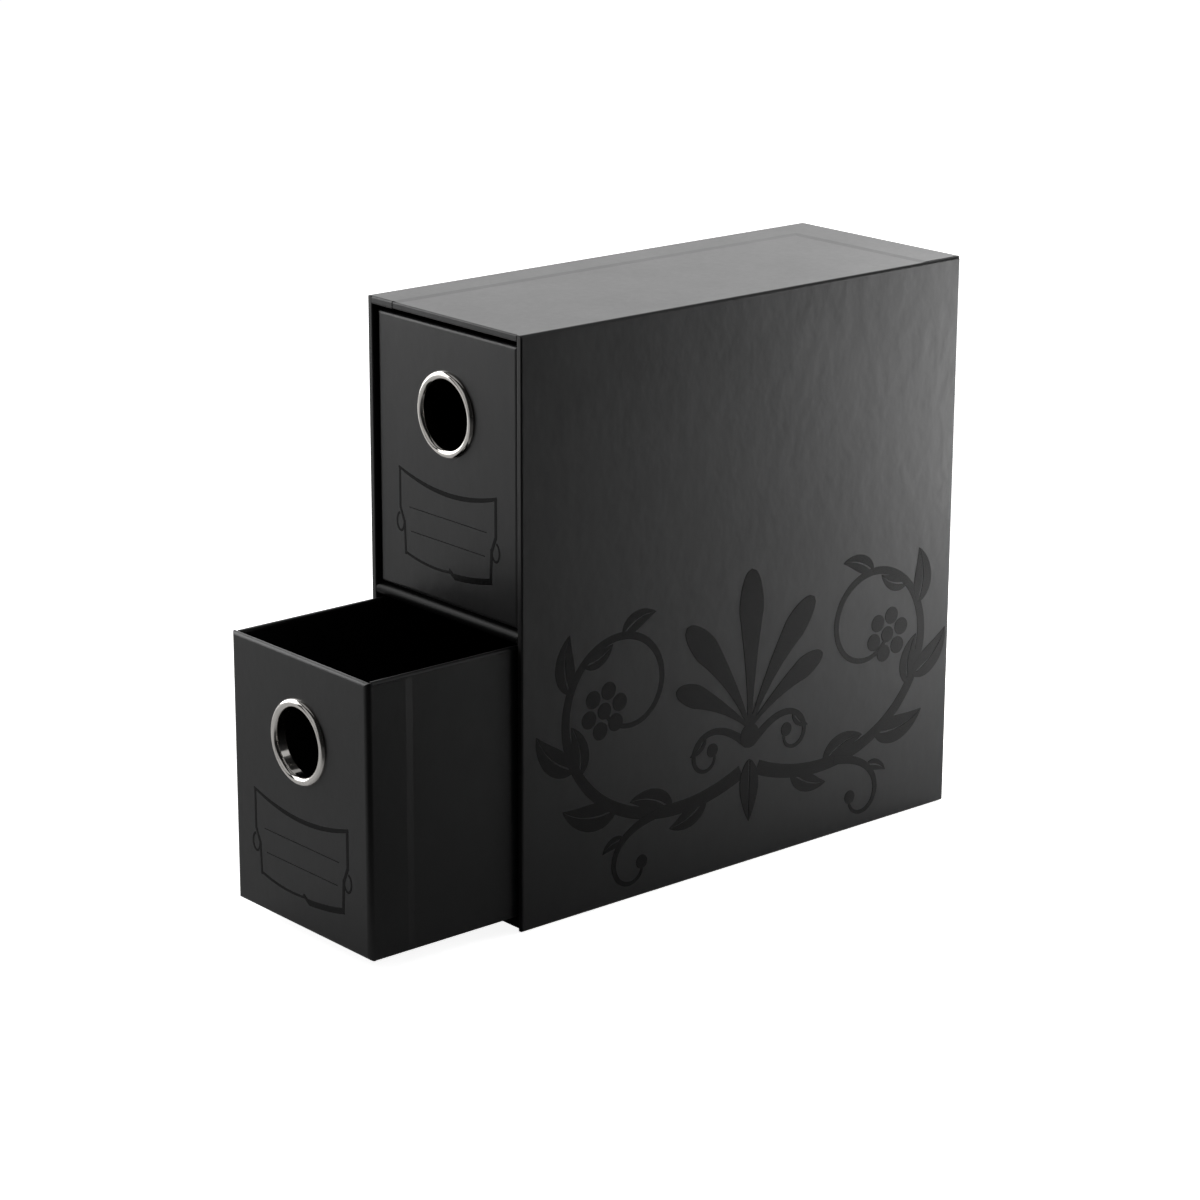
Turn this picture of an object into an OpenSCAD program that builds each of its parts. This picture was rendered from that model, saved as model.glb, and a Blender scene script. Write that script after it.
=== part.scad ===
// Card storage box: a sleeve of paper-wrapped board that holds two drawers with finger rings.
// Millimetres, +X to the right-hand side, -Y to the front, +Z up.
// The origin is the middle of the sleeve's underside.

/* [Drawers] */
// Width of a drawer over its front sheet
drawer_w = 77.6; // [60:0.1:110]
// Depth of a drawer from its front face to its back
drawer_d = 203; // [130:1:320]
// Height of a drawer
drawer_h = 98.6; // [80:0.1:140]
// How far the lower drawer stands open
lower_open = 64.7; // [0:0.1:120]

/* [Board and paper] */
// Thickness of every board
board_t = 2; // [1.5:0.1:3]
// Thickness of the covering and lining papers
paper_t = 0.2; // [0.12:0.02:0.3]
// Thickness of the glue under a paper
glue_t = 0.05; // [0.02:0.01:0.1]
// Outside radius of the sleeve's folded corners
edge_r = 1; // [0.6:0.1:2]
// Outside radius of the drawers' upright corners
drawer_edge_r = 1.8; // [0.8:0.1:2.4]
// Outside radius of the flat front edges of the sides and the top
flat_edge_r = 0.6; // [0.5:0.05:1]
// Outside radius of the lower edge of a drawer's front
foot_r = 1.6; // [0.8:0.1:2]

/* [Fit of the drawers] */
// Gap between a drawer and each side wall
side_gap = 0.7; // [0.5:0.05:3]
// Gap under a drawer
slide_gap = 0.3; // [0.2:0.05:0.5]
// Gap over the lower drawer
lower_top_gap = 0.5; // [0.4:0.05:3]
// Gap over the upper drawer
upper_top_gap = 2; // [0.5:0.05:3]
// Gap behind a closed drawer
back_gap = 1.7; // [0.6:0.1:6]
// How far a closed drawer's front lies behind the sleeve's front edge
front_recess = 1.4; // [0.6:0.1:6]

/* [Paper flaps] */
// Width of the flap that the left side's paper turns over onto the top
top_side_flap = 14; // [8:0.5:30]
// Width of the flap that the back's paper turns over onto the top
top_rear_flap = 17; // [8:0.5:30]
// Width of the flaps that the front sheet turns onto a drawer's sides
front_flap = 16; // [8:0.5:30]
// Width over which the ends of these flaps are pared down to nothing
flap_feather = 3; // [2:0.5:8]
// Depth to which covering papers are turned in over open edges
turn_in = 20; // [12:0.5:30]
// Width of the flaps under the sleeve, behind it and under the drawers
under_flap = 12; // [8:0.5:20]
// Distance between papers that end side by side
paper_gap = 1; // [0.5:0.1:3]
// How far a base sheet stays inside the edges
base_inset = 3; // [2:0.5:6]

/* [Finger rings] */
// Clear diameter of the ring
ring_hole_d = 24.4; // [18:0.1:32]
// Width of the ring's rolled rim
ring_rim_w = 3.1; // [2:0.1:4]
// Thickness of the ring's metal
ring_metal_t = 0.4; // [0.3:0.05:0.6]
// Distance from a drawer's top edge down to the ring's centre
ring_drop = 30.4; // [24:0.1:45]
// Radial clearance between the ring's barrel and the front
ring_fit = 0.1; // [0.05:0.01:0.2]
// Thickness of the washer behind the front
washer_t = 0.5; // [0.3:0.1:1]
// Width of the roll that holds the washer
clinch_w = 1.8; // [1.4:0.1:2.4]

/* [Hidden] */
$fn = 64;

// A skin is a paper with its glue, a wall is a board with a skin on each face,
// and a double wall is two plies of board with a skin on each face
skin_t = paper_t + glue_t;
wall_t = board_t + 2 * skin_t;
ply_t = 2 * board_t;
double_t = ply_t + 2 * skin_t;
nose_r = wall_t / 2;

// Sleeve, from the bottom up and from the front back
floor_z = paper_t + double_t;
shelf_z = floor_z + slide_gap + drawer_h + lower_top_gap;
upper_floor_z = shelf_z + double_t;
ceiling_z = upper_floor_z + slide_gap + drawer_h + upper_top_gap;
sleeve_h = ceiling_z + wall_t;
bay_half_w = drawer_w / 2 + side_gap;
half_w = bay_half_w + wall_t;
bay_d = front_recess + drawer_d + back_gap;
sleeve_d = bay_d + wall_t + paper_t;
front_y = -sleeve_d / 2;
rear_y = sleeve_d / 2;
bay_rear_y = front_y + bay_d;
cover_rear_y = rear_y - paper_t;
hem_y = front_y + flat_edge_r;

// Drawer, in its own frame: front face at y = 0, underside at z = 0
front_half_w = drawer_w / 2;
body_half_w = front_half_w - paper_t;
inner_half_w = body_half_w - wall_t;
wall_bottom_z = paper_t + skin_t;
drawer_floor_z = wall_bottom_z + board_t + skin_t;
nose_z = drawer_h - nose_r;
turn_in_z = drawer_h - turn_in;
inner_rear_y = drawer_d - wall_t;
side_wrap_y = skin_t + drawer_edge_r;

// Finger ring
ring_r = ring_hole_d / 2;
ring_rim_r = ring_r + ring_rim_w;
ring_seat_r = ring_r + ring_metal_t + ring_fit;
ring_z = drawer_h - ring_drop;

// Length by which a cut runs past the face that it cuts
past = 5;

SLEEVE_COLOUR = [0.10, 0.10, 0.11];
DRAWER_COLOUR = [0.13, 0.13, 0.14];
LINING_COLOUR = [0.05, 0.05, 0.05];
BOARD_COLOUR = [0.42, 0.40, 0.37];
METAL_COLOUR = [0.78, 0.77, 0.75];

SLEEVE_NODES = [
    "sleeve_left_board", "sleeve_right_board", "sleeve_top_board", "sleeve_back_board",
    "base_lower_board", "base_upper_board", "shelf_lower_board", "shelf_upper_board",
    "cover_sheet", "back_sheet", "base_sheet", "bay_floor_sheet", "shelf_sheet",
    "upper_bay_lining", "lower_bay_lining"
];
UPPER_NODES = [
    "upper_front_board", "upper_back_board", "upper_left_board", "upper_right_board",
    "upper_floor_board", "upper_front_sheet", "upper_body_wrap", "upper_base_sheet",
    "upper_lining", "upper_finger_ring", "upper_ring_washer"
];
LOWER_NODES = [
    "lower_front_board", "lower_back_board", "lower_left_board", "lower_right_board",
    "lower_floor_board", "lower_front_sheet", "lower_body_wrap", "lower_base_sheet",
    "lower_lining", "lower_finger_ring", "lower_ring_washer"
];

// Basic shapes

// Box between two opposite corners
module span(low, high) {
    translate(low) cube(high - low);
}

// Rectangle between two corners, with round corners of radius r
module round_rect(low, high, r) {
    size = high - low;
    translate(low + [r, 0]) square(size - [2 * r, 0]);
    translate(low + [0, r]) square(size - [0, 2 * r]);
    for (x = [low.x + r, high.x - r], y = [low.y + r, high.y - r])
        translate([x, y]) circle(r = r);
}

// End of a flap of paper at the origin, pared down to nothing on the right
module feather() {
    polygon([[0, 0], [flap_feather, 0], [0, paper_t]]);
}

// Outline of a board or its paper, t thick, with its front edge at y = 0 rounded by r on both corners
module round_front(length, t, r) {
    translate([-t / 2, r]) square([t, length - r]);
    if (t > 2 * r)
        translate([r - t / 2, 0]) square([t - 2 * r, 2 * r]);
    for (side = [-1, 1])
        translate([side * (t / 2 - r), r]) circle(r = r);
}

// Paper folded round such a front edge: both legs run back from it, the left leg for left_leg
module folded_paper(length, left_leg, t, r) {
    difference() {
        round_front(length, t, r);
        translate([0, paper_t]) round_front(length, t - 2 * paper_t, r - paper_t);
        translate([-t, left_leg]) square([t, length]);
    }
}

// Paper round a wall's front edge, with only its inner leg, on the left, which reaches turn_in deep
module hem_outline(r) {
    difference() {
        folded_paper(turn_in, turn_in, wall_t, r);
        translate([0, r]) square([wall_t, turn_in]);
    }
}

// Upright extrusion of a plan outline between two heights
module raise(low, high) {
    translate([0, 0, low]) linear_extrude(high - low) children();
}

// Extrusion along X of an outline drawn with Y back and Z up
module along_x(low, high) {
    translate([low, 0, 0]) rotate([90, 0, 90]) linear_extrude(high - low) children();
}

// Extrusion along Y of an outline drawn with X right and Z up
module along_y(low, high) {
    translate([0, high, 0]) rotate([90, 0, 0]) linear_extrude(high - low) children();
}

// Turns an outline whose front edge is at its bottom so that the edge is at the front of a Y-Z outline
module edge_forward() {
    mirror([0, 1]) rotate(-90) children();
}

// A right-hand shape, or its mirror image where side is -1
module handed(side) {
    if (side < 0)
        mirror([1, 0, 0]) children();
    else
        children();
}

// Sleeve

// The closed sleeve's outer form, drawn in by inset, with its long, top and rear edges rounded
module sleeve_form(inset, rear, top) {
    r = edge_r - inset;
    x = half_w - inset;
    low_y = front_y - past;
    high_y = rear - inset;
    low_z = paper_t + inset;
    high_z = top - inset;
    intersection() {
        along_y(low_y, high_y) round_rect([-x, low_z], [x, high_z], r);
        raise(low_z, high_z) round_rect([-x, low_y], [x, high_y], r);
        along_x(-x, x) round_rect([low_y, low_z], [high_y, high_z], r);
    }
}

// A paper's thickness of that form
module sleeve_skin(rear, top) {
    difference() {
        sleeve_form(0, rear, top);
        sleeve_form(paper_t, rear, top);
    }
}

// Side board with its front edge rounded: side is -1 on the left and 1 on the right
module sleeve_side_board(side) {
    color(BOARD_COLOUR) intersection() {
        sleeve_form(skin_t, cover_rear_y, sleeve_h);
        translate([side * (half_w - nose_r), front_y + skin_t])
            raise(paper_t, sleeve_h) round_front(sleeve_d, board_t, flat_edge_r - skin_t);
    }
}

module sleeve_left_board() {
    sleeve_side_board(-1);
}

module sleeve_right_board() {
    sleeve_side_board(1);
}

// Top board between the side boards, with its front edge rounded
module sleeve_top_board() {
    color(BOARD_COLOUR) intersection() {
        sleeve_form(skin_t, cover_rear_y, sleeve_h);
        translate([0, front_y + skin_t, ceiling_z + nose_r])
            along_x(-bay_half_w, bay_half_w)
                edge_forward() round_front(sleeve_d, board_t, flat_edge_r - skin_t);
    }
}

module sleeve_back_board() {
    high_y = cover_rear_y - skin_t;
    color(BOARD_COLOUR)
        span([-bay_half_w, high_y - board_t, floor_z - skin_t],
             [bay_half_w, high_y, ceiling_z + skin_t]);
}

// One ply of a double board whose half-round front edge both plies share; level is 0 below and 1 above
module ply(level, low_z, high_y) {
    intersection() {
        translate([0, front_y + skin_t, low_z + board_t])
            along_x(-bay_half_w, bay_half_w)
                edge_forward() round_front(high_y - front_y - skin_t, ply_t, ply_t / 2);
        span([-bay_half_w, front_y, low_z + level * board_t],
             [bay_half_w, rear_y, low_z + (level + 1) * board_t]);
    }
}

module base_ply(level) {
    color(BOARD_COLOUR) intersection() {
        sleeve_form(skin_t, cover_rear_y, sleeve_h);
        ply(level, paper_t + skin_t, rear_y);
    }
}

module base_lower_board() {
    base_ply(0);
}

module base_upper_board() {
    base_ply(1);
}

module shelf_ply(level) {
    color(BOARD_COLOUR) ply(level, shelf_z + skin_t, bay_rear_y);
}

module shelf_lower_board() {
    shelf_ply(0);
}

module shelf_upper_board() {
    shelf_ply(1);
}

// Paper round the front edge of a side wall, between two heights
module side_hem(side, low_z, high_z) {
    translate([side * (half_w - nose_r), front_y])
        raise(low_z, high_z) handed(side) hem_outline(flat_edge_r);
}

// Paper over the top end of a side wall's front edge, between two heights
module edge_cap(side, low_z, high_z) {
    translate([side * (half_w - nose_r), front_y]) raise(low_z, high_z) intersection() {
        round_front(wall_t, wall_t, flat_edge_r);
        translate([-nose_r, 0]) square([wall_t, flat_edge_r]);
    }
}

// Top and right-hand paper: one sheet folded over the long edge, turned in at the front, and turned
// under the base and behind the back
module cover_sheet() {
    low_z = paper_t + edge_r;
    color(SLEEVE_COLOUR) {
        intersection() {
            sleeve_skin(cover_rear_y, sleeve_h);
            union() {
                span([edge_r - half_w, hem_y, sleeve_h - edge_r],
                     [half_w, cover_rear_y - edge_r, sleeve_h]);
                span([half_w - edge_r, hem_y, 0], [half_w, rear_y, sleeve_h - edge_r]);
                span([half_w - under_flap, cover_rear_y - edge_r, low_z],
                     [half_w, rear_y, sleeve_h - edge_r]);
                span([half_w - under_flap, front_y + under_flap + paper_gap, 0],
                     [half_w, cover_rear_y - edge_r, low_z]);
            }
        }
        intersection() {
            sleeve_form(0, cover_rear_y, sleeve_h);
            union() {
                side_hem(1, paper_t, sleeve_h - paper_t);
                edge_cap(1, sleeve_h - paper_t, sleeve_h);
            }
        }
        translate([0, front_y, ceiling_z + nose_r])
            along_x(-bay_half_w, bay_half_w) edge_forward() hem_outline(flat_edge_r);
    }
}

// Left-hand and back paper: one sheet folded round the rear corner, with flaps on the top, of which the
// side one is turned over the front edge
module back_sheet() {
    high_z = sleeve_h + paper_t;
    low_z = paper_t + edge_r;
    under_x = half_w - under_flap - paper_gap;
    flap_x = top_side_flap - half_w;
    flap_y = rear_y - top_rear_flap;
    color(SLEEVE_COLOUR) {
        intersection() {
            sleeve_skin(rear_y, high_z);
            union() {
                span([-half_w, hem_y, low_z], [edge_r - half_w, rear_y, high_z]);
                span([-half_w, rear_y - edge_r, low_z], [half_w - base_inset, rear_y, high_z - edge_r]);
                span([-half_w, hem_y, high_z - edge_r], [flap_x, rear_y, high_z]);
                span([-half_w, flap_y, high_z - edge_r], [half_w - edge_r, rear_y, high_z]);
                span([-half_w, front_y + under_flap + paper_gap, 0],
                     [under_flap - half_w, rear_y, low_z]);
                span([-half_w, rear_y - under_flap, 0], [under_x, rear_y, low_z]);
            }
        }
        intersection() {
            sleeve_form(0, rear_y, high_z);
            union() {
                side_hem(-1, paper_t, sleeve_h - paper_t);
                edge_cap(-1, sleeve_h - paper_t, high_z);
            }
        }
        translate([0, front_y - paper_t, ceiling_z + nose_r])
            along_x(-bay_half_w, flap_x) edge_forward()
                folded_paper(turn_in, turn_in, wall_t + 2 * paper_t, flat_edge_r + paper_t);
        translate([flap_x, 0, sleeve_h]) along_y(hem_y, flap_y) feather();
        translate([0, flap_y, sleeve_h]) along_x(flap_x, half_w - edge_r) mirror([1, 0]) feather();
    }
}

module base_sheet() {
    color(SLEEVE_COLOUR)
        span([base_inset - half_w, front_y + base_inset, 0],
             [half_w - base_inset, rear_y - base_inset, paper_t]);
}

// Paper round a double board's front edge: the lower leg is low_leg long, the upper reaches the bay's back
module double_sheet(low_z, low_leg) {
    color(LINING_COLOUR)
        translate([0, front_y, low_z + double_t / 2])
            along_x(-bay_half_w, bay_half_w)
                edge_forward() folded_paper(bay_d, low_leg, double_t, double_t / 2);
}

module bay_floor_sheet() {
    double_sheet(paper_t, under_flap);
}

module shelf_sheet() {
    double_sheet(shelf_z, bay_d);
}

// Lining of a bay's sides and back, and of its ceiling where ceiling_t is a paper's thickness
module bay_lining(low_z, high_z, ceiling_t) {
    low_y = front_y + turn_in;
    color(LINING_COLOUR) difference() {
        span([-bay_half_w - paper_t, low_y, low_z],
             [bay_half_w + paper_t, bay_rear_y + paper_t, high_z + ceiling_t]);
        span([-bay_half_w, low_y - past, low_z - past],
             [bay_half_w, bay_rear_y, high_z + (ceiling_t > 0 ? 0 : past)]);
    }
}

module upper_bay_lining() {
    bay_lining(upper_floor_z, ceiling_z, paper_t);
}

module lower_bay_lining() {
    bay_lining(floor_z, shelf_z, 0);
}

// Drawers

// A drawer's plan, drawn in by inset from its body wrap
module drawer_plan(inset) {
    x = body_half_w - inset;
    round_rect([-x, inset], [x, drawer_d - inset], drawer_edge_r - inset);
}

// The front sheet's plan, drawn in by inset
module front_plan(inset) {
    x = front_half_w - inset;
    round_rect([-x, inset], [x, drawer_d], drawer_edge_r + paper_t - inset);
}

// The space behind a front and above its rounded lower edge, drawn in by inset
module foot_space(inset) {
    r = foot_r - inset;
    low_z = paper_t + inset;
    along_x(-drawer_w, drawer_w) {
        translate([inset, low_z + r]) square([drawer_d, drawer_h]);
        translate([inset + r, low_z]) square([drawer_d, drawer_h]);
        translate([inset + r, low_z + r]) circle(r = r);
    }
}

// Hole for the finger ring through the front
module ring_hole() {
    translate([0, wall_t + past, ring_z])
        rotate([90, 0, 0]) cylinder(r = ring_seat_r, h = wall_t + 2 * past);
}

// Board across a drawer with a rounded top edge, whose outer face is at y
module cross_board(y) {
    intersection() {
        raise(wall_bottom_z, drawer_h) drawer_plan(skin_t);
        translate([0, y + board_t / 2, drawer_h - skin_t])
            along_x(-front_half_w, front_half_w) rotate(180) round_front(drawer_h, board_t, board_t / 2);
    }
}

module front_board() {
    color(BOARD_COLOUR) difference() {
        intersection() {
            cross_board(skin_t);
            foot_space(skin_t);
        }
        ring_hole();
    }
}

module back_board() {
    color(BOARD_COLOUR) cross_board(drawer_d - skin_t - board_t);
}

// Side board between the front and back boards, with a rounded top edge
module side_board(side) {
    color(BOARD_COLOUR) intersection() {
        translate([side * (body_half_w - nose_r), 0, drawer_h - skin_t])
            along_y(wall_t, inner_rear_y) rotate(180) round_front(drawer_h, board_t, board_t / 2);
        raise(wall_bottom_z, drawer_h) drawer_plan(0);
    }
}

module left_board() {
    side_board(-1);
}

module right_board() {
    side_board(1);
}

module floor_board() {
    x = body_half_w - skin_t - board_t;
    color(BOARD_COLOUR)
        span([-x, skin_t + board_t, wall_bottom_z],
             [x, drawer_d - skin_t - board_t, wall_bottom_z + board_t]);
}

// Top of a rounded wall across the drawer, r thick each way from y, within the plan given as a child
module cross_nose(y, r) {
    intersection() {
        translate([0, y, nose_z]) along_x(-drawer_w, drawer_w) circle(r = r);
        raise(nose_z, drawer_h) children();
    }
}

// The front sheet's form up to the rounded top edge, drawn in by inset
module front_form(inset) {
    intersection() {
        raise(paper_t, nose_z) front_plan(inset);
        foot_space(inset);
    }
}

// Covering paper of the front, turned onto both sides, over the top edge and under the floor
module front_sheet() {
    under_x = body_half_w - under_flap - paper_gap;
    color(DRAWER_COLOUR) difference() {
        union() {
            intersection() {
                difference() {
                    front_form(0);
                    front_form(paper_t);
                }
                union() {
                    span([-drawer_w, 0, 0], [drawer_w, side_wrap_y, drawer_h]);
                    span([-drawer_w, 0, 2 * paper_t], [drawer_w, front_flap, drawer_h]);
                    span([-under_x, 0, 0], [under_x, under_flap, drawer_h]);
                }
            }
            for (side = [-1, 1])
                raise(2 * paper_t, nose_z) handed(side) translate([body_half_w, front_flap])
                    rotate(90) mirror([0, 1]) feather();
            difference() {
                cross_nose(nose_r, nose_r) front_plan(0);
                cross_nose(nose_r, nose_r - paper_t) front_plan(paper_t);
            }
            span([-inner_half_w, wall_t - paper_t, turn_in_z], [inner_half_w, wall_t, nose_z]);
        }
        ring_hole();
    }
}

// Covering paper of the sides and the back, turned in over their top edges and under the floor
module body_wrap() {
    under_y = under_flap + paper_gap;
    hem_x = inner_half_w + paper_t;
    color(DRAWER_COLOUR) {
        intersection() {
            raise(paper_t, nose_z) difference() {
                drawer_plan(0);
                drawer_plan(paper_t);
            }
            span([-drawer_w, side_wrap_y, 0], [drawer_w, drawer_d, drawer_h]);
        }
        for (side = [-1, 1])
            translate([side * (body_half_w - nose_r), 0, drawer_h])
                along_y(wall_t, inner_rear_y) rotate(180) handed(-side) hem_outline(nose_r);
        difference() {
            cross_nose(drawer_d - nose_r, nose_r) drawer_plan(0);
            cross_nose(drawer_d - nose_r, nose_r - paper_t) drawer_plan(paper_t);
        }
        span([-hem_x, inner_rear_y, turn_in_z], [hem_x, inner_rear_y + paper_t, nose_z]);
        intersection() {
            raise(paper_t, 2 * paper_t) difference() {
                drawer_plan(0);
                translate([under_flap - body_half_w, under_y - past])
                    square([2 * (body_half_w - under_flap), drawer_d - under_flap - under_y + past]);
            }
            span([-drawer_w, under_y, 0], [drawer_w, drawer_d, drawer_h]);
        }
    }
}

module drawer_base_sheet() {
    x = body_half_w - base_inset;
    color(DRAWER_COLOUR) span([-x, base_inset, 0], [x, drawer_d - base_inset, paper_t]);
}

// Lining paper: a tray up to the turned-in covering papers
module lining() {
    x = inner_half_w;
    color(LINING_COLOUR) difference() {
        span([-x - paper_t, wall_t - paper_t, drawer_floor_z - paper_t],
             [x + paper_t, inner_rear_y + paper_t, turn_in_z]);
        span([-x, wall_t, drawer_floor_z], [x, inner_rear_y, drawer_h]);
        ring_hole();
    }
}

// Turns an outline of radius and height into a ring on the finger hole's axis, height towards the front
module ring_turn() {
    translate([0, 0, ring_z]) rotate([90, 0, 0]) rotate_extrude() children();
}

// Half of a rolled edge: a tube of metal cut open along its axis, up to the front or down to the back
module rolled_edge(width, up) {
    intersection() {
        difference() {
            circle(d = width);
            circle(d = width - 2 * ring_metal_t);
        }
        translate([-width / 2, up ? 0 : -width / 2]) square([width, width / 2]);
    }
}

// Finger ring: a rolled rim on the front, a barrel through it, and a roll over the washer behind
module finger_ring() {
    barrel = wall_t + washer_t;
    color(METAL_COLOUR) ring_turn() {
        translate([ring_r + ring_rim_w / 2, 0]) rolled_edge(ring_rim_w, true);
        translate([ring_r, -barrel]) square([ring_metal_t, barrel]);
        translate([ring_r + clinch_w / 2, -barrel]) rolled_edge(clinch_w, false);
    }
}

module ring_washer() {
    color(METAL_COLOUR) ring_turn()
        translate([ring_seat_r, -wall_t - washer_t]) square([ring_rim_r - ring_seat_r, washer_t]);
}

// A drawer's pieces by name
module drawer_piece(name) {
    if (name == "front_board") front_board();
    if (name == "back_board") back_board();
    if (name == "left_board") left_board();
    if (name == "right_board") right_board();
    if (name == "floor_board") floor_board();
    if (name == "front_sheet") front_sheet();
    if (name == "body_wrap") body_wrap();
    if (name == "base_sheet") drawer_base_sheet();
    if (name == "lining") lining();
    if (name == "finger_ring") finger_ring();
    if (name == "ring_washer") ring_washer();
}

// The upper drawer is closed, and the lower one stands open by lower_open
module upper(name) {
    translate([0, front_y + front_recess, upper_floor_z + slide_gap]) drawer_piece(name);
}

module lower(name) {
    translate([0, front_y + front_recess - lower_open, floor_z + slide_gap]) drawer_piece(name);
}

sleeve_left_board();
sleeve_right_board();
sleeve_top_board();
sleeve_back_board();
base_lower_board();
base_upper_board();
shelf_lower_board();
shelf_upper_board();
cover_sheet();
back_sheet();
base_sheet();
bay_floor_sheet();
shelf_sheet();
upper_bay_lining();
lower_bay_lining();
upper("front_board");  // upper_front_board
upper("back_board");  // upper_back_board
upper("left_board");  // upper_left_board
upper("right_board");  // upper_right_board
upper("floor_board");  // upper_floor_board
upper("front_sheet");  // upper_front_sheet
upper("body_wrap");  // upper_body_wrap
upper("base_sheet");  // upper_base_sheet
upper("lining");  // upper_lining
upper("finger_ring");  // upper_finger_ring
upper("ring_washer");  // upper_ring_washer
lower("front_board");  // lower_front_board
lower("back_board");  // lower_back_board
lower("left_board");  // lower_left_board
lower("right_board");  // lower_right_board
lower("floor_board");  // lower_floor_board
lower("front_sheet");  // lower_front_sheet
lower("body_wrap");  // lower_body_wrap
lower("base_sheet");  // lower_base_sheet
lower("lining");  // lower_lining
lower("finger_ring");  // lower_finger_ring
lower("ring_washer");  // lower_ring_washer
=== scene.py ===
"""Looks of the card storage box: papers, gloss prints, metal rings, studio and camera."""

import math
from collections import namedtuple

import bpy
import numpy as np
from mathutils import Matrix, Vector


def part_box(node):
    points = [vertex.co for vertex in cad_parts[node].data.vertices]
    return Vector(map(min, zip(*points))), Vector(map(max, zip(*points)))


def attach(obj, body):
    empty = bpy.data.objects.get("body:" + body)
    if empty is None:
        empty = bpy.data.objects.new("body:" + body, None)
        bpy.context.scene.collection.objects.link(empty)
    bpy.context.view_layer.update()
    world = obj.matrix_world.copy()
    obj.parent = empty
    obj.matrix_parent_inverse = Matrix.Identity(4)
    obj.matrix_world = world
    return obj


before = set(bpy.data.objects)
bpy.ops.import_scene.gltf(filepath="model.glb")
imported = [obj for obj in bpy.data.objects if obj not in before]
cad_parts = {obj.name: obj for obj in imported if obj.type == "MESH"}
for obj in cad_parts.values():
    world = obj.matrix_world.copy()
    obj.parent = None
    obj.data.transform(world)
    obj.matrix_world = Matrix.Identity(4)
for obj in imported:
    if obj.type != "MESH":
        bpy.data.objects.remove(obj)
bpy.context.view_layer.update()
MM = 0.001

# Nodes by the paper or metal that they are made of; linings, drawer papers and metal without their level
LEVELS = ("upper", "lower")
SLEEVE_PAPER = ("cover_sheet", "back_sheet", "base_sheet")
BAY_PAPER = ("bay_floor_sheet", "shelf_sheet")
LINING = ("bay_lining", "lining")
DRAWER_PAPER = ("front_sheet", "body_wrap", "base_sheet")
METAL = ("finger_ring", "ring_washer")


# Shader helpers

# Nearly all values of a noise lie between these two
NOISE_LOW = 0.3
NOISE_HIGH = 0.7


def node(tree, kind, inputs=(), **settings):
    """Adds a shader node, sets its properties and its inputs, and links inputs that are sockets."""
    made = tree.nodes.new(kind)
    for key, value in settings.items():
        setattr(made, key, value)
    for key, value in dict(inputs).items():
        if isinstance(value, bpy.types.NodeSocket):
            tree.links.new(value, made.inputs[key])
        else:
            made.inputs[key].default_value = value
    return made


def group(name, dial, outputs):
    """Starts a node group with one number to set and the outputs given, as name and socket kind."""
    tree = bpy.data.node_groups.new(name, "ShaderNodeTree")
    tree.interface.new_socket(dial, in_out="INPUT", socket_type="NodeSocketFloat")
    for label, kind in outputs:
        tree.interface.new_socket(label, in_out="OUTPUT", socket_type=kind)
    return tree, tree.nodes.new("NodeGroupInput").outputs[dial], tree.nodes.new("NodeGroupOutput")


def use(tree, made_group, level):
    """Puts a node group into a material's tree, with its number set."""
    made = node(tree, "ShaderNodeGroup", node_tree=made_group)
    made.inputs[0].default_value = level
    return made


def material(name):
    """Starts a material and returns it, its tree and its shader."""
    made = bpy.data.materials.new(name)
    made.use_nodes = True
    return made, made.node_tree, made.node_tree.nodes["Principled BSDF"]


def object_place(tree):
    """Object coordinates, in metres."""
    return node(tree, "ShaderNodeTexCoord").outputs["Object"]


def scaled(tree, vector, scale):
    """A vector times a scale for each axis."""
    return node(tree, "ShaderNodeMapping", {"Vector": vector, "Scale": scale}).outputs["Vector"]


def noise(tree, vector, scale, detail, roughness=0.5):
    """Fractal noise between 0 and 1."""
    made = node(tree, "ShaderNodeTexNoise",
                {"Vector": vector, "Scale": scale, "Detail": detail, "Roughness": roughness})
    return made.outputs["Fac"]


def remap(tree, value, low, high, to_low, to_high):
    """Maps a value from one range to another, clamped."""
    made = node(tree, "ShaderNodeMapRange", {"Value": value, "From Min": low, "From Max": high,
                                             "To Min": to_low, "To Max": to_high})
    return made.outputs["Result"]


def spread(tree, value, span):
    """Maps a noise's usual values to a span, given by its two ends."""
    return remap(tree, value, NOISE_LOW, NOISE_HIGH, *span)


def maths(tree, operation, a, b):
    """Two values put together by a maths node."""
    return node(tree, "ShaderNodeMath", {0: a, 1: b}, operation=operation).outputs["Value"]


def tinted(tree, colour, tint):
    """A colour times a varying tint."""
    made = node(tree, "ShaderNodeVectorMath", {0: colour, 1: tint}, operation="MULTIPLY")
    return made.outputs["Vector"]


# Shared effects

# Features to a metre, along X, Y and Z where there are three numbers
STREAKS = (420.0, 420.0, 60.0)
PEEL = (170.0, 170.0, 125.0)
CLOUDS = 38.0
GRAINS = 2600.0
FIBRE_MOTTLE = 700.0

# Depths in metres, and the grain's height as a share of the peel's
PEEL_DEPTH = 0.00009
FIBRE_DEPTH = 0.0001
GRAIN_SHARE = 0.05

# Spans of roughness and tint
FILM_ROUGHNESS = (0.34, 0.36)
CLOUD_ROUGHNESS = (-0.012, 0.012)
FILM_TINT = (0.9, 1.1)
FIBRE_TINT = (0.8, 1.2)

# Upright part of a level face's normal, from where the peel fades and to where it is weakest
LEVEL_FROM = 0.5
LEVEL_TO = 0.9
LEVEL_PEEL = 0.15


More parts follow.
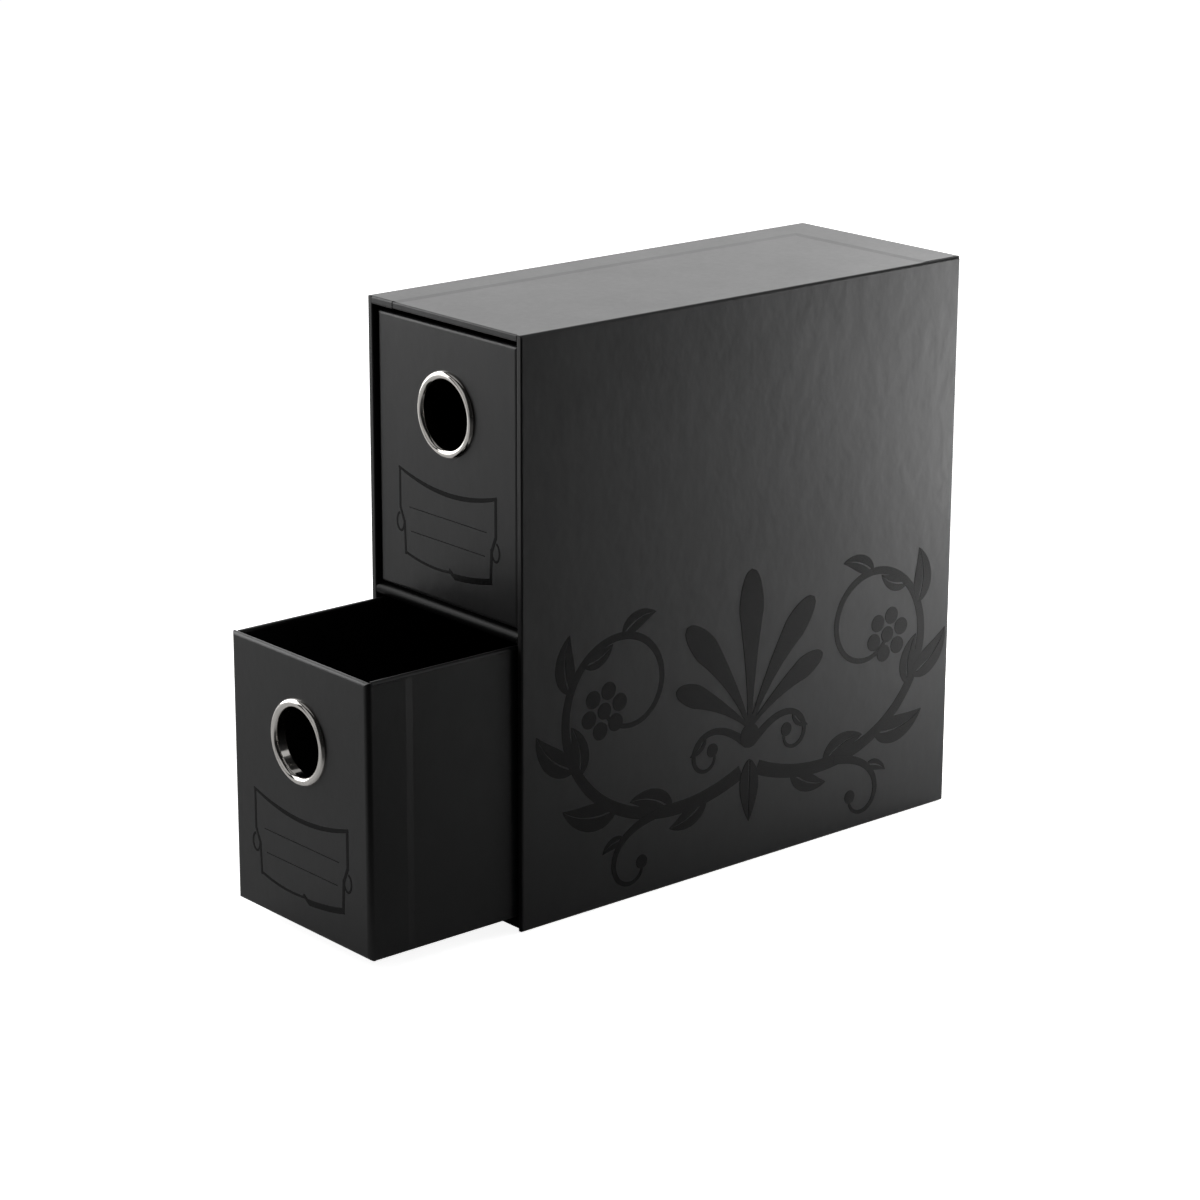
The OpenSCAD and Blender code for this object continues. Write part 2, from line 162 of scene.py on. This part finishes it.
def film_group():
    """Satin film over paper: an upright orange peel and a fine grain, as roughness, tint and normal.

    The peel is weaker on level faces, where the film was pressed flat.
    """
    tree, relief, out = group("satin_film", "Relief", (("Roughness", "NodeSocketFloat"),
                                                       ("Tint", "NodeSocketFloat"),
                                                       ("Normal", "NodeSocketVector")))
    place = object_place(tree)
    streak = noise(tree, scaled(tree, place, STREAKS), 1.0, detail=3.0)
    cloud = noise(tree, place, CLOUDS, detail=3.0)
    grain = noise(tree, place, GRAINS, detail=2.0)
    peel = noise(tree, scaled(tree, place, PEEL), 1.0, detail=2.0)
    roughness = maths(tree, "ADD", spread(tree, streak, FILM_ROUGHNESS), spread(tree, cloud, CLOUD_ROUGHNESS))
    height = maths(tree, "ADD", maths(tree, "MULTIPLY", grain, GRAIN_SHARE), peel)
    normal = node(tree, "ShaderNodeNewGeometry").outputs["Normal"]
    upright = node(tree, "ShaderNodeSeparateXYZ", {"Vector": normal}).outputs["Z"]
    level = maths(tree, "ABSOLUTE", upright, 0.0)
    strength = maths(tree, "MULTIPLY", remap(tree, level, LEVEL_FROM, LEVEL_TO, 1.0, LEVEL_PEEL), relief)
    bump = node(tree, "ShaderNodeBump", {"Height": height, "Strength": strength, "Distance": PEEL_DEPTH})
    tree.links.new(roughness, out.inputs["Roughness"])
    tree.links.new(spread(tree, cloud, FILM_TINT), out.inputs["Tint"])
    tree.links.new(bump.outputs["Normal"], out.inputs["Normal"])
    return tree


def fibre_group():
    """Uncoated paper and board: a mottle of fibres as tint and normal."""
    tree, relief, out = group("fibres", "Relief", (("Tint", "NodeSocketFloat"),
                                                   ("Normal", "NodeSocketVector")))
    mottle = noise(tree, object_place(tree), FIBRE_MOTTLE, detail=5.0, roughness=0.6)
    bump = node(tree, "ShaderNodeBump", {"Height": mottle, "Strength": relief, "Distance": FIBRE_DEPTH})
    tree.links.new(spread(tree, mottle, FIBRE_TINT), out.inputs["Tint"])
    tree.links.new(bump.outputs["Normal"], out.inputs["Normal"])
    return tree


FILM = film_group()
FIBRES = fibre_group()


# Finishes

FILM_BLACK = (0.010, 0.010, 0.0105)
# Bay papers are darker than the sleeve film and the lining: painted shade of the gap between the drawers
BAY_BLACK_PAINTED_SHADE = (0.006, 0.006, 0.006)
LINING_BLACK = (0.012, 0.012, 0.012)
BOARD_GREY = (0.16, 0.15, 0.135)
GLOSS_BLACK = (0.004, 0.004, 0.004)
NICKEL_WHITE = (0.78, 0.755, 0.72)
MATT_SHINE = 0.2

# Ripples of the gloss and marks of wear to a metre, and their spans of roughness and tint
GLOSS_RIPPLES = 900.0
GLOSS_ROUGHNESS = (0.2, 0.25)
GLOSS_TINT = (0.8, 1.2)
WEAR_MARKS = 420.0
WEAR_ROUGHNESS = (0.09, 0.16)
WEAR_TINT = (0.94, 1.04)


def satin_paper(name, colour, shine, relief):
    """Black covering paper with a satin film, by its level of shine and its relief, each 0 to 1."""
    made, tree, shader = material(name)
    film = use(tree, FILM, relief)
    tree.links.new(tinted(tree, colour, film.outputs["Tint"]), shader.inputs["Base Color"])
    tree.links.new(film.outputs["Roughness"], shader.inputs["Roughness"])
    tree.links.new(film.outputs["Normal"], shader.inputs["Normal"])
    shader.inputs["Specular IOR Level"].default_value = shine
    return made


def matt_paper(name, colour, roughness, relief):
    """Uncoated paper or board, by the relief of its fibres."""
    made, tree, shader = material(name)
    fibres = use(tree, FIBRES, relief)
    tree.links.new(tinted(tree, colour, fibres.outputs["Tint"]), shader.inputs["Base Color"])
    tree.links.new(fibres.outputs["Normal"], shader.inputs["Normal"])
    shader.inputs["Roughness"].default_value = roughness
    shader.inputs["Specular IOR Level"].default_value = MATT_SHINE
    return made


def gloss_print(name, shine):
    """Clear gloss printed on the black paper: smoother and darker than the film."""
    made, tree, shader = material(name)
    ripple = noise(tree, object_place(tree), GLOSS_RIPPLES, detail=2.0)
    colour = tinted(tree, GLOSS_BLACK, spread(tree, ripple, GLOSS_TINT))
    tree.links.new(colour, shader.inputs["Base Color"])
    tree.links.new(spread(tree, ripple, GLOSS_ROUGHNESS), shader.inputs["Roughness"])
    shader.inputs["Specular IOR Level"].default_value = shine
    return made


def nickel():
    """Polished nickel with faint wear."""
    made, tree, shader = material("nickel")
    wear = noise(tree, object_place(tree), WEAR_MARKS, detail=4.0)
    colour = tinted(tree, NICKEL_WHITE, spread(tree, wear, WEAR_TINT))
    tree.links.new(colour, shader.inputs["Base Color"])
    tree.links.new(spread(tree, wear, WEAR_ROUGHNESS), shader.inputs["Roughness"])
    shader.inputs["Metallic"].default_value = 1.0
    return made


SLEEVE_FILM = satin_paper("sleeve_film", FILM_BLACK, shine=0.5, relief=1.0)
DRAWER_FILM = satin_paper("drawer_film", FILM_BLACK, shine=0.5, relief=0.9)
# The bay film's darker colour and low shine are painted shade between the drawers
BAY_FILM_PAINTED_SHADE = satin_paper("bay_film_painted_shade", BAY_BLACK_PAINTED_SHADE, shine=0.1, relief=0.5)
LINING_PAPER = matt_paper("lining", LINING_BLACK, roughness=0.7, relief=0.3)
GREY_BOARD = matt_paper("grey_board", BOARD_GREY, roughness=0.9, relief=0.5)
LABEL_GLOSS = gloss_print("label_gloss", shine=0.12)
SIDE_GLOSS = gloss_print("side_gloss", shine=0.25)
NICKEL = nickel()


def finish_of(name):
    """The finish of a CAD node, which is grey board unless its name is listed."""
    first, _, rest = name.partition("_")
    plain = rest if first in LEVELS else name
    if name in SLEEVE_PAPER:
        return SLEEVE_FILM
    if name in BAY_PAPER:
        return BAY_FILM_PAINTED_SHADE
    if plain in LINING:
        return LINING_PAPER
    if plain in DRAWER_PAPER:
        return DRAWER_FILM
    if plain in METAL:
        return NICKEL
    return GREY_BOARD


for node_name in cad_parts:
    node_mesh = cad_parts[node_name].data
    node_mesh.materials.clear()
    node_mesh.materials.append(finish_of(node_name))


# Prints: strokes a few hundredths of a millimetre thick on a flat face, in millimetres

PRINT_THICKNESS = 0.04
PRINT_SINK = 0.02
PRINT_SLOPE = 0.03

# How much higher each stroke of a print lies than the one before it
LAYER = 0.0015

# Half width that a pointed end keeps
POINT = 0.02


class Face:
    """A flat face: an origin in millimetres with directions along, up and out of it."""

    def __init__(self, origin, along, out):
        self.origin = np.array(origin, float)
        self.along = np.array(along, float)
        self.out = np.array(out, float)
        self.up = np.cross(self.out, self.along)

    def place(self, u, v, h):
        """Points in metres from distances along, up and out in millimetres."""
        flat = self.origin + u[..., None] * self.along + v[..., None] * self.up
        return MM * (flat + h[..., None] * self.out)


def stroke(face, path, left, right, top):
    """Closed shell of a stroke: a thin bar with sloped edges along a path, left and right of it by widths.

    The grid runs along the path and round the bar's four corners, and both ends are capped. A slope takes up
    a quarter of the width at most.
    """
    path = np.asarray(path, float)
    count = len(path)
    step = np.gradient(path, axis=0)
    step /= np.linalg.norm(step, axis=1)[:, None]
    normal = np.stack([-step[:, 1], step[:, 0]], 1)
    left = np.broadcast_to(left, count)
    right = np.broadcast_to(right, count)
    slope = np.minimum(PRINT_SLOPE, (left + right) * 0.25)
    side = np.stack([left, left - slope, slope - right, -right], 1)
    high = np.broadcast_to([-PRINT_SINK, top, top, -PRINT_SINK], (count, 4))
    u = path[:, None, 0] + side * normal[:, None, 0]
    v = path[:, None, 1] + side * normal[:, None, 1]
    verts = face.place(u, v, high).reshape(-1, 3)
    i, k = np.meshgrid(np.arange(count - 1), np.arange(4), indexing="ij")
    nxt = (k + 1) % 4
    quads = np.stack([4 * i + k, 4 * i + nxt, 4 * (i + 1) + nxt, 4 * (i + 1) + k], -1).reshape(-1, 4)
    caps = np.array([[3, 2, 1, 0], 4 * (count - 1) + np.arange(4)])
    return verts, np.vstack([quads, caps])


def piece(name, face, strokes, made, body):
    """One mesh object from strokes on a face, each a hair above the last, riding a body."""
    verts = []
    faces = []
    start = 0
    for number, (path, left, right) in enumerate(strokes):
        shell, quads = stroke(face, path, left, right, PRINT_THICKNESS + LAYER * number)
        verts.append(shell)
        faces.append(quads + start)
        start += len(shell)
    mesh = bpy.data.meshes.new(name)
    mesh.from_pydata(np.vstack(verts).tolist(), [], np.vstack(faces).tolist())
    mesh.materials.append(made)
    mesh.update()
    made_object = bpy.data.objects.new(name, mesh)
    bpy.context.scene.collection.objects.link(made_object)
    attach(made_object, body)


def even(path, half):
    """A stroke as wide to the left of its path as to the right."""
    return (path, half, half)


def line(a, b, count=12):
    """Straight path between two points."""
    t = np.linspace(0, 1, count)[:, None]
    return np.array(a, float) * (1 - t) + np.array(b, float) * t


def arc(a, b, sag, count=40):
    """Path from a to b that sags by a parabola at right angles to the line between them."""
    a = np.array(a, float)
    b = np.array(b, float)
    t = np.linspace(0, 1, count)[:, None]
    across = np.array([a[1] - b[1], b[0] - a[0]]) / np.linalg.norm(b - a)
    return a * (1 - t) + b * t - 4 * sag * t * (1 - t) * across


def loop(centre, radii, start, turn, count=40):
    """Part of an ellipse, by start angle and turn in degrees."""
    angle = np.radians(start + turn * np.linspace(0, 1, count))
    return np.stack([centre[0] + radii[0] * np.cos(angle), centre[1] + radii[1] * np.sin(angle)], 1)


def scroll(start, heading, length, bend, power, side, count=120):
    """Path that curls ever tighter, and its directions.

    The bend goes from its first value to its last as the share of the length to a power.
    """
    t = np.linspace(0, 1, count)
    part = 0.5 * (t[1:] + t[:-1])
    step = length / (count - 1)
    turn = side * step * np.cumsum(bend[0] + (bend[1] - bend[0]) * part ** power)
    turn = math.radians(heading) + np.concatenate([[0], turn])
    middle = 0.5 * (turn[1:] + turn[:-1])
    moves = step * np.stack([np.cos(middle), np.sin(middle)], 1)
    return np.array(start, float) + np.concatenate([[[0, 0]], np.cumsum(moves, axis=0)]), turn


# Label frame: points from the middle of the drawer's foot, those of the right side mirrored for the left
LABEL_TOP = ((-27.2, 44.6), (27.2, 44.0))
LABEL_TOP_SAG = 4.5
LABEL_TOP_HALF = 0.9
LABEL_SIDE = (((26.5, 44.2), (26.5, 29.6)), ((26.5, 30.2), (24.2, 24.8)), ((24.2, 25.6), (23.6, 13.4)))
LABEL_SIDE_HALVES = ((-1, 0.55), (1, 0.7))
CURL_CENTRE = (26.4, 24.8)
CURL_RADII = (2.0, 3.2)
CURL_LEAN = 10.0
CURL_TURN = 320.0
CURL_HALF = 0.45
LABEL_FOOT_LEFT = ((-23.9, 14.3), (1.5, 12.3), 1.2)
LABEL_FOOT_STEP = ((0.6, 13.1), (4.4, 10.6))
LABEL_FOOT_RIGHT = ((3.6, 11.2), (24.2, 14.2), 0.5)
LABEL_FOOT_HALVES = (0.5, 0.7, 1.15)
RULED_LINES = ((31.0, 21.5), (22.4, 20.5))
RULED_HALF = 0.2


def label_frame():
    """Strokes of a label plate: a hollow top edge, sides with a curl each, a stepped foot, ruled lines.

    The top edge's width swells as a sine of the share of its length.
    """
    t = np.linspace(0, 1, 40)
    swell = 0.3 + 0.7 * np.sin(np.pi * (0.08 + 0.72 * t)) ** 0.9
    strokes = [even(arc(*LABEL_TOP, LABEL_TOP_SAG), LABEL_TOP_HALF * swell)]
    for side, half in LABEL_SIDE_HALVES:
        mirror = np.array((side, 1))
        for start, end in LABEL_SIDE:
            strokes.append(even(line(start * mirror, end * mirror), half))
        curl = loop(CURL_CENTRE * mirror, CURL_RADII, 90 - CURL_LEAN * side, -CURL_TURN * side)
        strokes.append(even(curl, CURL_HALF))
    foot = (arc(*LABEL_FOOT_LEFT), line(*LABEL_FOOT_STEP), arc(*LABEL_FOOT_RIGHT))
    for path, half in zip(foot, LABEL_FOOT_HALVES):
        strokes.append(even(path, half))
    for height, reach in RULED_LINES:
        strokes.append(even(line((-reach, height), (reach, height)), RULED_HALF))
    return strokes


# Side ornament: places from the middle of the side's foot; a leaf has place on its scroll, lean and size
Scroll = namedtuple("Scroll", "length bend power width leaves")
MAIN_SCROLL = Scroll(216.0, (0.0125, 0.082), 1.9, 5.6, (
    (0.09, -40.0, 20.0), (0.16, 44.0, 22.0), (0.29, -44.0, 26.0), (0.40, 48.0, 20.0),
    (0.42, -46.0, 24.0), (0.55, -48.0, 22.0), (0.60, 50.0, 15.0), (0.69, -50.0, 17.0)))
OUTER_SHOOT = Scroll(52.0, (0.004, 0.2), 1.2, 3.6, ((0.36, -46.0, 11.0),))
INNER_SHOOT = Scroll(52.0, (0.0, 0.26), 1.2, 3.4, ((0.45, 46.0, 10.0),))
ORNAMENT_MIDDLE = 2.0
MAIN_SCROLL_FOOT = 36.0
MAIN_SCROLL_APART = 4
MAIN_SCROLL_HEADING = -24
OUTER_SHOOT_PLACE = 0.19
OUTER_SHOOT_LEAN = 16
INNER_SHOOT_FOOT = 46.0
INNER_SHOOT_HEADING = 38
ROSETTE_RADIUS = 11.0
BUD_RADIUS = 2.6
TAPER = 0.7

# Petals of the palmette, each with heading, length and bend, and the eye and the leaf under them
PETALS = ((90, 60.0, 0.0), (66, 54.0, -0.4), (114, 54.0, 0.4), (42, 42.0, -0.4), (138, 42.0, 0.4))
PETAL_FOOT = 52.0
PETAL_WIDEST = 0.74
EYE_PLACE = 49.0
EYE_RADIUS = 4.6
FOOT_LEAF_PLACE = 40.0
FOOT_LEAF_LENGTH = 24.0
FOOT_LEAF_HALF = 4.6


def leaf(base, heading, length, width, bend, gap=0.4):
    """Two halves of a pointed leaf beside a bare midrib.

    The midline bends evenly, and the width follows a sine that is fullest before the middle.
    """
    path, _ = scroll(base, heading, length, (bend, bend), 1.0, 1.0, 40)
    t = np.linspace(0, 1, 40)
    half = width * np.sin(np.pi * t ** 0.75) ** 0.85 + POINT
    rib = np.minimum(gap * (1 - t), 0.45 * half)
    return [(path, half, -rib), (path, -rib, half)]


def petal(base, heading, length, width, bend):
    """Club-shaped petal: its width grows by a power from a narrow foot and closes as an ellipse."""
    path, _ = scroll(base, heading, length, (bend, bend), 1.0, 1.0, 60)
    t = np.linspace(0, 1, 60)
    foot = 0.16 + 0.84 * (t / PETAL_WIDEST) ** 1.6
    tip = np.sqrt(np.maximum(1 - ((t - PETAL_WIDEST) / (1 - PETAL_WIDEST)) ** 2, 0.0))
    return even(path, width * np.where(t < PETAL_WIDEST, foot, tip) + POINT)


def dot(centre, r):
    """Round dot: a stroke across a circle, as wide at each place as the circle."""
    across = r * np.sin(np.linspace(-1, 1, 25) * np.pi / 2)
    path = np.stack([centre[0] + across, np.full(25, float(centre[1]))], 1)
    return even(path, np.sqrt(np.maximum(r * r - across ** 2, 0.0)) + POINT)


def rosette(centre, r):
    """Six round petals, evenly round a circle, about a round eye."""
    ring = loop(centre, (0.66 * r, 0.66 * r), 15.0, 300.0, 6)
    return [dot(place, 0.3 * r) for place in ring] + [dot(centre, 0.28 * r)]


def vine(start, heading, side, shape):
    """Strokes of an evenly tapering scroll with leaves that lean from it, and its path and directions."""
    path, turn = scroll(start, heading, shape.length, shape.bend, shape.power, side)
    half = 0.5 * shape.width * (1 - TAPER * np.linspace(0, 1, len(path)))
    strokes = [even(path, half)]
    for at, lean, size in shape.leaves:
        i = int(at * (len(path) - 1))
        strokes += leaf(path[i], math.degrees(turn[i]) + lean * side, size, 0.2 * size,
                        -side * math.copysign(0.9, lean) / size)
    return strokes, path, turn


def outward(heading, side):
    """A heading in degrees for the right side as it is, or mirrored about the upright for the left."""
    return 90 - side * (90 - heading)


def side_ornament():
    """Strokes of two mirrored leaf scrolls about an upright palmette."""
    strokes = []
    for side in (-1, 1):
        foot = (ORNAMENT_MIDDLE + MAIN_SCROLL_APART * side, MAIN_SCROLL_FOOT)
        made, path, turn = vine(foot, outward(MAIN_SCROLL_HEADING, side), side, MAIN_SCROLL)
        strokes += made + rosette(path[-1], ROSETTE_RADIUS)
        branch = int(OUTER_SHOOT_PLACE * (len(path) - 1))
        heading = math.degrees(turn[branch]) - OUTER_SHOOT_LEAN * side
        made, path, _ = vine(path[branch], heading, -side, OUTER_SHOOT)
        strokes += made + [dot(path[-1], BUD_RADIUS)]
        foot = (ORNAMENT_MIDDLE + side, INNER_SHOOT_FOOT)
        made, path, _ = vine(foot, outward(INNER_SHOOT_HEADING, side), -side, INNER_SHOOT)
        strokes += made + [dot(path[-1], BUD_RADIUS)]
    for heading, size, bend in PETALS:
        strokes.append(petal((ORNAMENT_MIDDLE, PETAL_FOOT), heading, size, 0.085 * size + 0.8, bend / size))
    strokes.append(dot((ORNAMENT_MIDDLE, EYE_PLACE), EYE_RADIUS))
    return strokes + leaf((ORNAMENT_MIDDLE, FOOT_LEAF_PLACE), -90, FOOT_LEAF_LENGTH, FOOT_LEAF_HALF, 0.0)


for level in LEVELS:
    front_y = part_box(level + "_front_sheet")[0].y / MM
    foot_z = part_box(level + "_base_sheet")[0].z / MM
    drawer_front = Face((0, front_y, foot_z), (1, 0, 0), (0, -1, 0))
    piece(level + "_label_print", drawer_front, label_frame(), LABEL_GLOSS, level + "_drawer")
right_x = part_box("cover_sheet")[1].x / MM
right_side = Face((right_x, 0, 0), (0, 1, 0), (1, 0, 0))
piece("side_print", right_side, side_ornament(), SIDE_GLOSS, "sleeve")


# Studio, in metres

WHITE = (1, 1, 1, 1)
FLOOR_HALF = 4.0
FLOOR_PALE = (0.9, 0.9, 0.9)
FLOOR_ROUGHNESS = 0.9
FLOOR_SPECKS = 60.0
FLOOR_TINT = (0.99, 1.01)

# Distances from the box at which the floor starts to whiten and is white, and its glow up to there
WHITEN_FROM = 0.25
WHITEN_TO = 0.7
NEAR_GLOW = 0.9

# Painted shade on the floor's colour in reflections, darkest towards the front right, with the lengths over
# which it darkens and how far
PAINTED_SHADE_SIDE = (0.76, -0.65, 0.0)
PAINTED_SHADE_REACH = 0.26
PAINTED_SHADE_RIGHT_REACH = 0.12
PAINTED_SHADE_DEPTH = 0.88

# Painted shade and light on the floor's colour in reflections, to the left and to the right of the box, and
# where it changes
LEFT_PAINTED_SHADE = 0.6
RIGHT_PAINTED_SHADE = 0.9
PAINTED_SHADE_CHANGE_REACH = 0.2

SURROUND_LEVEL = 0.01

# Each lamp's name, place, aim, size and radiance
TOP_AIM = (0.0, 0.0, 0.21)
DRAWER_AIM = (0.0, -0.12, 0.11)
LAMPS = (
    ("over_lamp", (-0.2, 0.3, 1.1), (0.0, 0.0, 0.2), (1.8, 1.6), 0.3),
    ("rear_lamp", (0.06, 0.36, 0.11), (0.042, 0.0, 0.11), (0.40, 0.20), 7.5),
    ("right_lamp", (0.77, 0.68, 0.67), (0.04, 0.0, 0.2), (0.8, 0.8), 0.5),
    ("back_left_lamp", (-1.2, 1.3, 0.75), TOP_AIM, (2.0, 1.3), 1.37),
    ("back_lamp", (-0.5, 1.6, 0.75), TOP_AIM, (1.6, 1.3), 0.48),
    ("left_lamp", (-1.5, -0.4, 0.65), DRAWER_AIM, (1.2, 1.2), 2.6),
    ("front_lamp", (-0.3, -1.5, 0.65), DRAWER_AIM, (1.2, 1.2), 0.4),
    ("near_lamp", (-0.65, -0.40, 0.35), DRAWER_AIM, (0.6, 0.6), 1.75),
)

# Camera, as the perspective of the photograph's edges gives it, with its focal length in pixels
CAMERA_PLACE = (0.92672, -0.82956, 0.46938)
CAMERA_RIGHT = (0.65073, 0.75930, 0.00369)
CAMERA_FORWARD = (-0.72567, 0.62333, -0.29130)
FOCAL_PIXELS = 3544.68
PHOTO_PIXELS = 1200
SENSOR_MM = 36.0


def floor():
    """Pale floor: white to the camera with its shadow; in reflections a dim colour with painted shade,
    darkest towards the front right and lighter to the right.
    """
    half = FLOOR_HALF
    mesh = bpy.data.meshes.new("floor")
    mesh.from_pydata([(-half, -half, 0), (half, -half, 0), (half, half, 0), (-half, half, 0)], [],
                     [(0, 1, 2, 3)])
    made, tree, shader = material("floor")
    rays = node(tree, "ShaderNodeLightPath")
    place = object_place(tree)
    speck = noise(tree, place, FLOOR_SPECKS, detail=3.0)
    tree.links.new(tinted(tree, FLOOR_PALE, spread(tree, speck, FLOOR_TINT)), shader.inputs["Base Color"])
    shader.inputs["Roughness"].default_value = FLOOR_ROUGHNESS
    shader.inputs["Specular IOR Level"].default_value = 0.0
    shader.inputs["Emission Color"].default_value = WHITE
    away = node(tree, "ShaderNodeVectorMath", {0: place}, operation="LENGTH").outputs["Value"]
    glow = remap(tree, away, WHITEN_FROM, WHITEN_TO, NEAR_GLOW, 1.0)
    tree.links.new(glow, shader.inputs["Emission Strength"])
    # Painted shade: the floor's colour in reflections is darkened towards the front right and lightened to
    # the right
    painted_side = node(tree, "ShaderNodeVectorMath", {0: place, 1: PAINTED_SHADE_SIDE}, operation="DOT_PRODUCT")
    to_right = node(tree, "ShaderNodeSeparateXYZ", {"Vector": place}).outputs["X"]
    painted_dark = maths(tree, "MULTIPLY", remap(tree, painted_side.outputs["Value"], 0.0, PAINTED_SHADE_REACH, 0.0, PAINTED_SHADE_DEPTH),
                 remap(tree, to_right, 0.0, PAINTED_SHADE_RIGHT_REACH, 0.0, 1.0))
    painted_shade = maths(tree, "MULTIPLY", maths(tree, "SUBTRACT", 1.0, painted_dark),
                  remap(tree, to_right, -PAINTED_SHADE_CHANGE_REACH, PAINTED_SHADE_CHANGE_REACH, LEFT_PAINTED_SHADE, RIGHT_PAINTED_SHADE))
    dim = node(tree, "ShaderNodeBsdfDiffuse", {"Color": tinted(tree, WHITE[:3], painted_shade)})
    mix = node(tree, "ShaderNodeMixShader", {0: rays.outputs["Is Camera Ray"],
                                             1: dim.outputs["BSDF"], 2: shader.outputs["BSDF"]})
    tree.links.new(mix.outputs["Shader"], tree.nodes["Material Output"].inputs["Surface"])
    mesh.materials.append(made)
    made_object = bpy.data.objects.new("floor", mesh)
    bpy.context.scene.collection.objects.link(made_object)


def surround(level):
    """White to the camera, dim and even otherwise."""
    world = bpy.data.worlds.new("surround")
    world.use_nodes = True
    tree = world.node_tree
    rays = node(tree, "ShaderNodeLightPath")
    strength = remap(tree, rays.outputs["Is Camera Ray"], 0.0, 1.0, level, 1.0)
    tree.nodes["Background"].inputs["Color"].default_value = WHITE
    tree.links.new(strength, tree.nodes["Background"].inputs["Strength"])
    bpy.context.scene.world = world


def lamp(name, place, aim, size, radiance):
    """Area lamp of a size in metres, turned to a point, as bright as its radiance says."""
    light = bpy.data.lights.new(name, "AREA")
    light.shape = "RECTANGLE"
    light.size = size[0]
    light.size_y = size[1]
    light.energy = radiance * math.pi * size[0] * size[1]
    made_object = bpy.data.objects.new(name, light)
    away = Vector(place) - Vector(aim)
    made_object.matrix_world = Matrix.Translation(place) @ away.to_track_quat("Z", "Y").to_matrix().to_4x4()
    made_object.visible_camera = False
    bpy.context.scene.collection.objects.link(made_object)


def camera():
    """Camera at the photograph's place, from its solved directions and focal length."""
    data = bpy.data.cameras.new("camera")
    data.sensor_width = SENSOR_MM
    data.lens = SENSOR_MM * FOCAL_PIXELS / PHOTO_PIXELS
    data.clip_start = 0.05
    data.clip_end = 50.0
    right = Vector(CAMERA_RIGHT).normalized()
    forward = Vector(CAMERA_FORWARD).normalized()
    up = right.cross(forward)
    turn = Matrix((right, up, -forward)).transposed().to_4x4()
    made_object = bpy.data.objects.new("camera", data)
    made_object.matrix_world = Matrix.Translation(CAMERA_PLACE) @ turn
    bpy.context.scene.collection.objects.link(made_object)
    bpy.context.scene.camera = made_object


floor()
surround(SURROUND_LEVEL)
for lamp_settings in LAMPS:
    lamp(*lamp_settings)
camera()
bpy.context.scene.view_settings.view_transform = "Standard"
